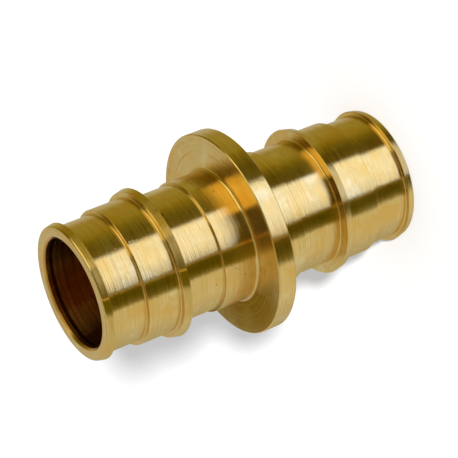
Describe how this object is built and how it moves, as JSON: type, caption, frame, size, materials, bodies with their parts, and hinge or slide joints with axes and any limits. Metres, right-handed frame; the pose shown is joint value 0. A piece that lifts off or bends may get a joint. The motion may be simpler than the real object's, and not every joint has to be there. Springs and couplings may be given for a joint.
{
  "type": "pipe coupling",
  "caption": "Straight metal coupling with a flat round stop collar between two mirrored barbed spigots and a bore straight through, joining expansion-fitted plastic pipes.",
  "frame": {"origin": "centre of the lower end face, on the bore's axis, where the coupling stands on a surface", "axes": "+Z along the bore's axis, from the lower end face to the upper one; the part is round, so +X and +Y are free"},
  "size_m": [0.0286, 0.0286, 0.0488],
  "materials": {
    "brass": "bright turned brass with fine lathe lines"
  },
  "bodies": {
    "root": {"coupling_body": "brass"}
  },
  "joints": []
}
